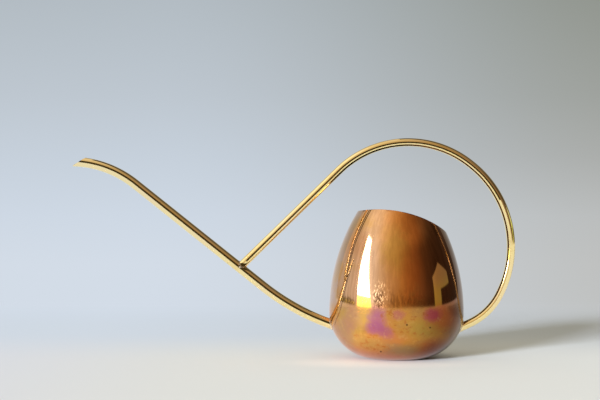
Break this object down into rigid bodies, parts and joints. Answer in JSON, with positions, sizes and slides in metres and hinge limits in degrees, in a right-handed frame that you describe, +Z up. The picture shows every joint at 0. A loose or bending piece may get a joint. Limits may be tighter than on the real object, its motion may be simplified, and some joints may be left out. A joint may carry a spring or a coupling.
{
  "type": "watering can",
  "caption": "Long-spouted indoor watering can: egg-shaped tarnished copper body with a slanting arched mouth, slim brass spout, and a bent brass tube handle that arches over it onto the spout.",
  "frame": {"origin": "centre of the flat base, on the surface that the can stands on", "axes": "+Z up, the spout towards -X, the handle's arch towards +X; the plane y = 0 is the plane of symmetry"},
  "size_m": [0.4313, 0.131, 0.2141],
  "materials": {
    "copper": "polished copper with heat tint, purple and green tarnish and small dark pits",
    "spout_brass": "polished, lightly tarnished",
    "handle_brass": "polished, lightly tarnished",
    "solder": "satin, grey where it has tarnished"
  },
  "bodies": {
    "root": {"body": "copper", "spout": "spout_brass", "handle": "handle_brass", "spout_solder": "solder", "handle_solder": "solder", "joint_solder": "solder"}
  },
  "joints": []
}
